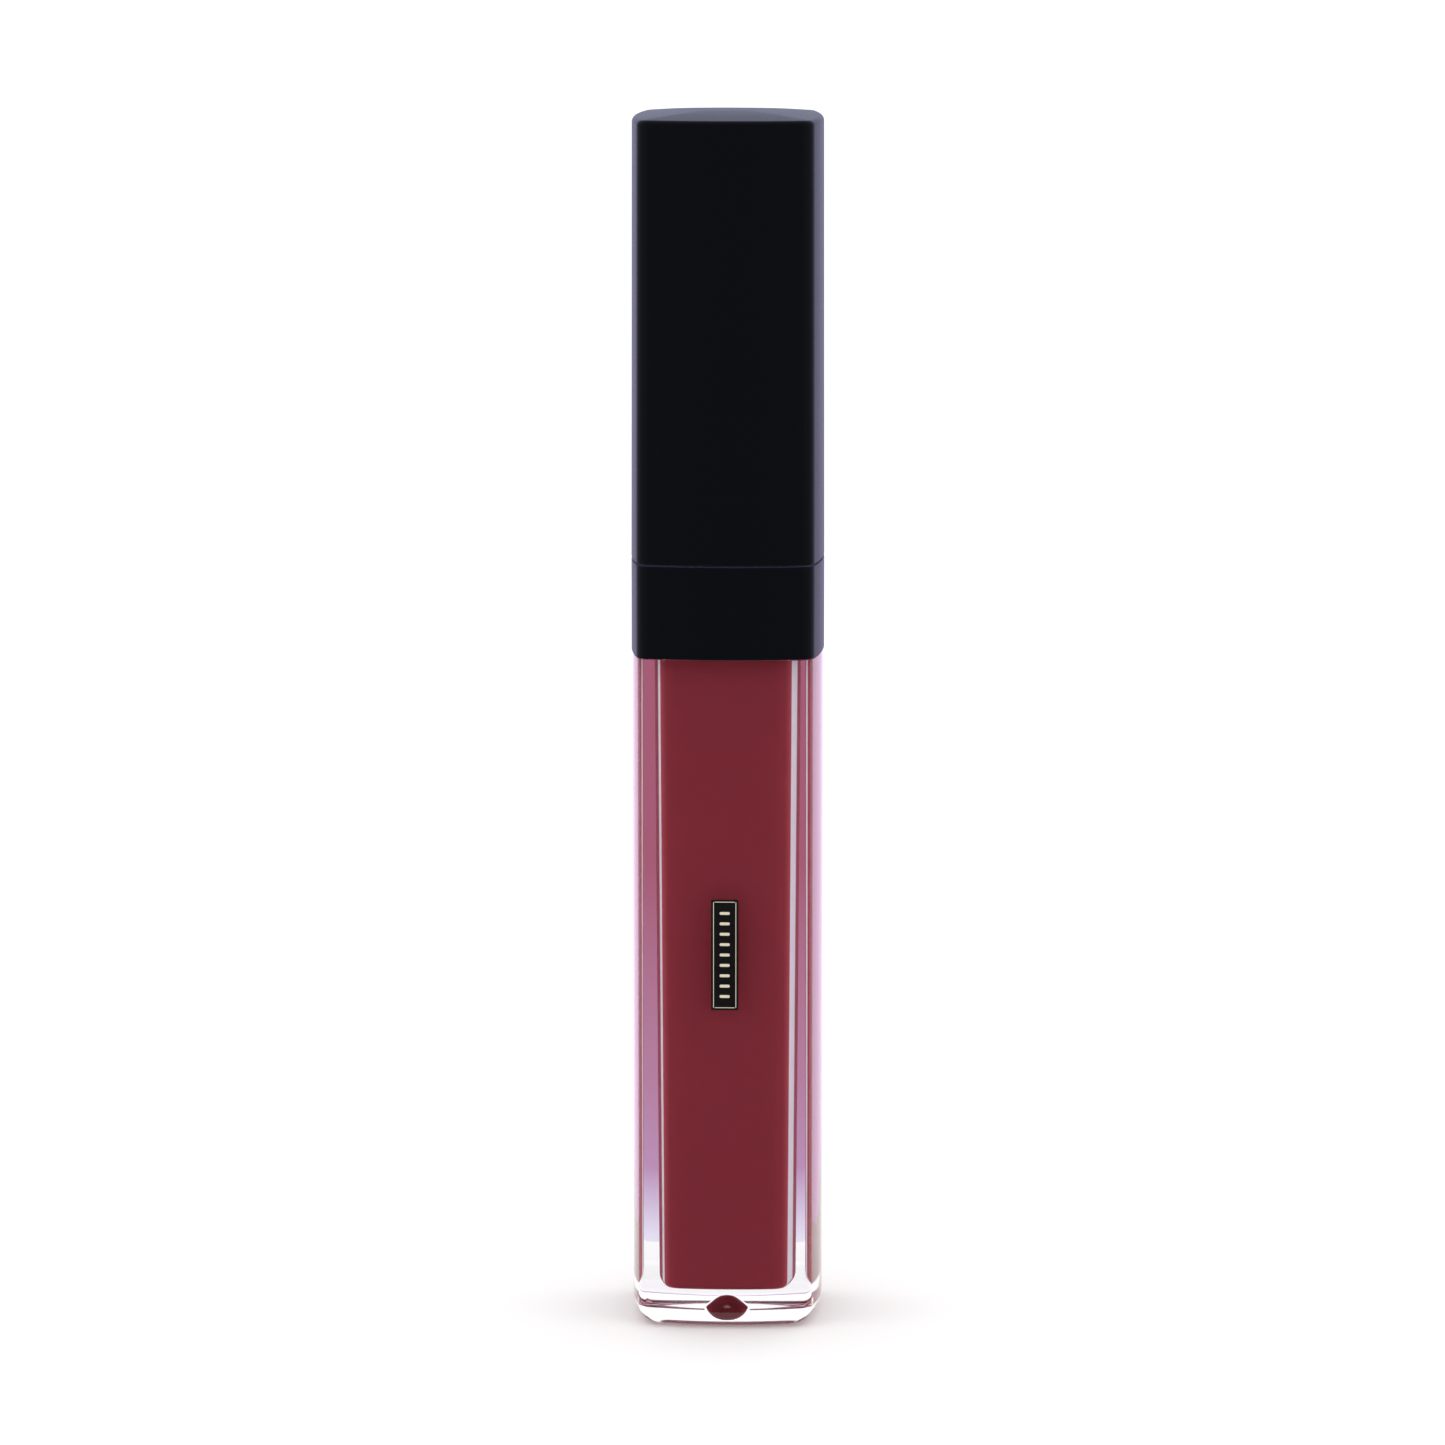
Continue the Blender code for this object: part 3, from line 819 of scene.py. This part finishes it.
for quarter in range(4):
    straight = math.pi / 2 * quarter
    join_or_cut(
        inner_cap, "UNION",
        fin("rib", 3.1, 7.1, RIB_WIDTH, DISC_TOP - 0.3, DISC_TOP + RIB_HEIGHT, straight),
    )
    join_or_cut(
        inner_cap, "UNION",
        fin("fin", 6.9, 9.3, FIN_WIDTH, SKIRT_BOTTOM + 1, DISC_TOP - 0.4, straight + math.pi / 4),
    )
smooth(inner_cap)
black_plastic = new_finish("black_plastic", (0.012, 0.012, 0.013), 0.3)
vary(black_plastic, grain(black_plastic, 0.6, 0.003), "Roughness", 0.24, 0.38)
wear(inner_cap, black_plastic)
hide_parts("inner_cap")
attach(inner_cap, "cap")

# %% [markdown]
# ## The wand
# A glossy black rod with a shoulder that is trapped under the inner cap's roof. The lower
# half is always wet with gloss, so its colour turns from black to dark red below the
# filling's surface, with an uneven, creeping edge.

# %% Model the stem
STEM_LOW, STEM_TOP = level("stem", 0), level("stem", 1)
STEM_RADIUS, FOOT_RADIUS, SOCKET_RADIUS, SOCKET_DEPTH = 1.6, 1.5, 1.0, 4
STEM_SHOULDER, SHOULDER_TOP, SHOULDER_LOW = 2.3, 81.8, 80.9
stem = turned(
    "wand_stem",
    [(0, STEM_TOP), (STEM_RADIUS - 0.3, STEM_TOP), (STEM_RADIUS, STEM_TOP - 0.3),
     (STEM_RADIUS, SHOULDER_TOP), (STEM_SHOULDER, SHOULDER_TOP), (STEM_SHOULDER, SHOULDER_LOW),
     (STEM_RADIUS, SHOULDER_LOW), (STEM_RADIUS, STEM_LOW + 3), (FOOT_RADIUS, STEM_LOW + 2.6),
     (FOOT_RADIUS, STEM_LOW), (SOCKET_RADIUS, STEM_LOW), (SOCKET_RADIUS, STEM_LOW + SOCKET_DEPTH),
     (0, STEM_LOW + SOCKET_DEPTH)],
    closed=False,
)
smooth(stem)


def wet_below(finish, dry, wet, height, soft):
    """Colours a finish wet below a height and dry above it, with an uneven edge."""
    place = add_node(finish, "ShaderNodeTexCoord")
    parts = add_node(finish, "ShaderNodeSeparateXYZ")
    noise = add_node(finish, "ShaderNodeTexNoise", Scale=400.0, Detail=3.0)
    uneven = add_node(finish, "ShaderNodeMath", operation="MULTIPLY_ADD")
    uneven.inputs[1].default_value = 2 * soft * MM
    span = add_node(finish, "ShaderNodeMapRange")
    span.inputs["From Min"].default_value = height * MM
    span.inputs["From Max"].default_value = (height + 2 * soft) * MM
    ramp = add_ramp(finish, [(0.0, wet), (1.0, dry)])
    link(finish, place, "Object", parts, "Vector")
    link(finish, place, "Object", noise, "Vector")
    link(finish, noise, "Fac", uneven, 0)
    link(finish, parts, "Z", uneven, 2)
    link(finish, uneven, "Value", span, "Value")
    link(finish, span, "Result", ramp, "Fac")
    link(finish, ramp, "Color", shader_of(finish), "Base Color")


DRY_BLACK, WET_RED = (0.008, 0.008, 0.009), (0.10, 0.012, 0.018)
wand_black = new_finish("wand_black", DRY_BLACK, 0.2, Coat_Weight=0.3)
vary(wand_black, grain(wand_black, 0.8, 0.006), "Roughness", 0.12, 0.3)
wet_below(wand_black, DRY_BLACK, WET_RED, FILL_TOP - 2, 1.5)
wear(stem, wand_black)
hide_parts("stem")
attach(stem, "cap")

# %% [markdown]
# ## The flocked tip
# The tip is cut to a slant so that its flat side lies on the lip. Thousands of tiny fibres
# cover it. A hair system could grow them, but it would not survive an export as a solid. So
# the nap is made twice: a fine procedural bump roughens the skin, and about a thousand
# short modelled fibres stand on it so that its outline is fuzzy.

# %% Model the tip
TIP_LOW, TIP_TOP = level("applicator_flock", 0), level("applicator_flock", 1)
FIBRE_ROOM = 0.04
TIP_RADIUS = reach("applicator_flock") - FIBRE_ROOM
FACET_ANGLE = math.radians(20)
FACET_OUT = 0.6
COAT, TIP_RINGS = 0.3, 8


def slanted(name, inset, top):
    """The slanted, round-ended tip, drawn in all round by inset."""
    radius, low = TIP_RADIUS - inset, TIP_LOW + FIBRE_ROOM + inset
    profile = [(0, top), (radius, top)]
    for ring in range(TIP_RINGS + 1):
        angle = math.pi / 2 * ring / TIP_RINGS
        profile.append((radius * math.cos(angle), low + radius * (1 - math.sin(angle))))
    foot = turned(name, profile, soften=0, closed=False, steps=48)
    edit(foot)
    bpy.ops.mesh.select_all(action="SELECT")
    bpy.ops.mesh.bisect(
        plane_co=((FACET_OUT - inset) * MM, 0, TIP_LOW * MM),
        plane_no=(math.cos(FACET_ANGLE), 0, -math.sin(FACET_ANGLE)),
        clear_outer=True,
    )
    bpy.ops.mesh.select_all(action="SELECT")
    bpy.ops.mesh.remove_doubles(threshold=1e-6)
    leave(foot)
    edit(foot, "EDGE")
    bpy.ops.mesh.select_non_manifold()
    bpy.ops.mesh.fill_holes(sides=0)
    merge_close()
    return leave(foot)


flock = slanted("flocked_tip", FIBRE_ROOM, TIP_TOP)
join_or_cut(flock, "DIFFERENCE", slanted("inside", COAT, TIP_TOP + 1))
smooth(flock)
flock_red = new_finish("flock_red", (0.26, 0.04, 0.055), 0.9, Sheen_Weight=0.2)
nap = grain(flock_red, 0.09, 0.05, detail=4.0)
tint = add_ramp(flock_red, [(0.35, (0.13, 0.015, 0.022)), (0.65, (0.36, 0.06, 0.08))])
link(flock_red, nap, "Fac", tint, "Fac")
link(flock_red, tint, "Color", shader_of(flock_red), "Base Color")
wear(flock, flock_red)
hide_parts("applicator_flock")
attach(flock, "cap")

# %% Stand fibres on the tip
FIBRE_LONG, FIBRE_WIDE, FIBRE_SUNK, FIBRE_SWAY = 0.14, 0.03, 0.06, 0.03
ROWS, FIBRES_ROUND, FIRST_ROW = 26, 44, 1.9

fibres = start_point("fibres", TIP_RADIUS - FIBRE_SUNK, -FIBRE_WIDE / 2, TIP_LOW + FIRST_ROW)
extrude(y=FIBRE_WIDE)
bpy.ops.mesh.select_all(action="SELECT")
extrude(z=FIBRE_WIDE)
bpy.ops.mesh.select_all(action="SELECT")
extrude(x=FIBRE_LONG)
scale(1, 0.3, 0.3)
merge_close()
leave(fibres)
apply_modifier(
    fibres, "ARRAY", count=ROWS, use_relative_offset=False, use_constant_offset=True,
    constant_offset_displace=(0, 0.0, (TIP_TOP - TIP_LOW - 2.0) / ROWS * MM),
)
edit(fibres)
bpy.ops.mesh.select_all(action="SELECT")
bpy.ops.mesh.spin(
    steps=FIBRES_ROUND, angle=2 * math.pi, center=(0, 0, 0), axis=(0, 0, 1), dupli=True
)
bpy.ops.mesh.select_all(action="SELECT")
bpy.ops.mesh.remove_doubles(threshold=1e-7)


def past_the_slant(co):
    """How far a point lies beyond the slanted face, in millimetres."""
    return (co.x - FACET_OUT) * math.cos(FACET_ANGLE) - (co.z - TIP_LOW) * math.sin(FACET_ANGLE)


pick(fibres, "VERT", lambda co, v: past_the_slant(co) > 0.02)
bpy.ops.mesh.select_linked()
bpy.ops.mesh.delete(type="VERT")
bpy.ops.mesh.select_all(action="SELECT")
bpy.ops.transform.vertex_random(offset=FIBRE_SWAY * MM, seed=7)
leave(fibres)
print(f"{fibres.name}: {len(fibres.data.polygons)} faces")
wear(fibres, flock_red)
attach(fibres, "cap")

# %% [markdown]
# ## Pieces kept as they are
# The foam washer, the steel weight and the tip's moulded core have the right shape in the
# frame already, so they only get a finish.


# %% Finish the kept pieces
def refinish(node, finish):
    for slot in frame["nodes"][node].material_slots:
        slot.material = finish


foam = new_finish("white_foam", (0.74, 0.73, 0.70), 0.85, Subsurface_Weight=0.2)
foam_cells = grain(foam, 0.12, 0.03, detail=4.0)
vary(foam, foam_cells, "Roughness", 0.75, 0.95)

steel = new_finish("turned_steel", (0.52, 0.53, 0.54), 0.3, Metallic=1.0)
vary(steel, grain(steel, 0.15, 0.003, stretch=(1, 1, 12)), "Roughness", 0.22, 0.42)

core_plastic = new_finish("core_plastic", (0.66, 0.60, 0.56), 0.4)
vary(core_plastic, grain(core_plastic, 0.3, 0.004), "Roughness", 0.32, 0.48)

refinish("cap_gasket", foam)
refinish("cap_weight", steel)
refinish("applicator_core", core_plastic)

# %% [markdown]
# ## Stage, light and camera
# The tube stands on a plain pale floor in a white room. Black cards in front, seen only by
# reflections, keep the black cap black from straight on while its sides still catch the
# room. A mauve card behind, seen only through clear things, gives the bottle's thick edges
# their colour. Two narrow lights at the front and two wide ones behind draw the bright
# lines along the vertical corners, and two glowing cards on the floor behind tint the
# bottle's outermost edges. Lamps could do it too, but a card is easier to place: it shows
# up exactly where its mirror image should lie.

# %% Set the stage
bpy.ops.object.select_all(action="DESELECT")
AIR_UNDER = 0.03
bpy.ops.mesh.primitive_plane_add(size=4, location=(0, 0, -AIR_UNDER * MM))
floor = bpy.context.object
floor.name = "floor"
floor_paint = new_finish("floor_paint", (0.95, 0.95, 0.95), 0.9, Specular_IOR_Level=0.0)
wear(floor, floor_paint)

world = bpy.data.worlds.new("white_room")
bpy.context.scene.world = world
world.use_nodes = True
world.node_tree.nodes["Background"].inputs["Color"].default_value = (1.0, 1.0, 1.0, 1.0)
world.node_tree.nodes["Background"].inputs["Strength"].default_value = 1.22


def card(name, place, size, finish, rotation=(0, 0, 0), seen_in="reflections"):
    """A studio card that is seen only in reflections, or only through clear things."""
    bpy.ops.mesh.primitive_plane_add(size=1, location=place, rotation=rotation)
    made = bpy.context.object
    made.name = name
    made.scale = (*size, 1)
    made.visible_camera = made.visible_diffuse = made.visible_shadow = False
    made.visible_transmission = seen_in != "reflections"
    made.visible_glossy = seen_in == "reflections"
    wear(made, finish)


black_paper = new_finish("black_paper", (0.0, 0.0, 0.0), 1.0, Specular_IOR_Level=0.0)
card("front_card", (0, -0.5, 0.3), (1.4, 1.4), black_paper, (math.pi / 2, 0, 0))
card("floor_card", (0, -0.26, 0.0002), (1.4, 0.5), black_paper)
MAUVE = (0.34, 0.10, 0.16)
mauve_paper = new_finish("mauve_paper", MAUVE, 1.0, Specular_IOR_Level=0.0)
# Painted shade: the card fades from pale lavender near the tube to dark mauve further back,
# standing in for a room that grows darker away from the tube.
painted_falloff_ramp = add_ramp(
    mauve_paper,
    [(0.0, (0.80, 0.76, 0.88)), (0.08, (0.60, 0.48, 0.66)), (0.16, (0.46, 0.26, 0.44)),
     (0.36, (0.42, 0.20, 0.32)), (1.0, MAUVE)],
)
CARD_NEAR, CARD_DEPTH, FADE_DEPTH = 0.03, 1.9, 0.2
place = add_node(mauve_paper, "ShaderNodeTexCoord")
split = add_node(mauve_paper, "ShaderNodeSeparateXYZ")
span = add_node(mauve_paper, "ShaderNodeMapRange")
span.inputs["From Min"].default_value = -0.5
span.inputs["From Max"].default_value = -0.5 + FADE_DEPTH / CARD_DEPTH
link(mauve_paper, place, "Object", split, "Vector")
link(mauve_paper, split, "Y", span, "Value")
link(mauve_paper, span, "Result", painted_falloff_ramp, "Fac")
link(mauve_paper, painted_falloff_ramp, "Color", shader_of(mauve_paper), "Base Color")
card(
    "back_card", (0, CARD_NEAR + CARD_DEPTH / 2, 0.0003), (3.0, CARD_DEPTH), mauve_paper,
    seen_in="clear things",
)


def glowing(name, colour, strength):
    """A finish that only gives light."""
    return new_finish(
        name, (0, 0, 0), 1.0, Specular_IOR_Level=0.0,
        Emission_Color=(*colour, 1), Emission_Strength=strength,
    )


strip_light = glowing("strip_light", (0.86, 0.80, 1.0), 12.0)
side_light = glowing("side_light", (0.90, 0.78, 1.0), 1.7)
floor_light = glowing("floor_light", (0.92, 0.74, 0.98), 1.5)
for side in (-1, 1):
    card("strip_light", (0.42 * side, -0.42, 0.1), (0.04, 1.2), strip_light,
         (math.pi / 2, 0, side * math.pi / 4))
    card("side_light", (0.34 * side, 0.6, 0.2), (0.5, 1.2), side_light, (math.pi / 2, 0, 0))
    card("floor_light", (0.32 * side, 0.31, 0.0004), (0.6, 0.56), floor_light)

bpy.context.scene.view_settings.view_transform = "Standard"

# %% Place the camera
TUBE_HEIGHT = level("cap_shell", 1)
DISTANCE = 5.6 * TUBE_HEIGHT
ELEVATION = math.radians(8.9)
AZIMUTH = math.radians(2.0)
SEEN_HEIGHT = 1.004 * TUBE_HEIGHT
SHARE_OF_FRAME = 1217 / 1445
SENSOR = 36
camera_data = bpy.data.cameras.new("camera")
camera = bpy.data.objects.new("camera", camera_data)
bpy.context.scene.collection.objects.link(camera)
bpy.context.scene.camera = camera
aim = Vector((-0.0005, 0, 0.0544))
back = Vector(
    (
        math.sin(AZIMUTH) * math.cos(ELEVATION),
        -math.cos(AZIMUTH) * math.cos(ELEVATION),
        math.sin(ELEVATION),
    )
)
camera.location = aim + back * DISTANCE * MM
camera.rotation_euler = back.to_track_quat("Z", "Y").to_euler()
camera_data.sensor_width = SENSOR
camera_data.lens = SENSOR * DISTANCE / SEEN_HEIGHT * SHARE_OF_FRAME
camera_data.clip_start = 0.01
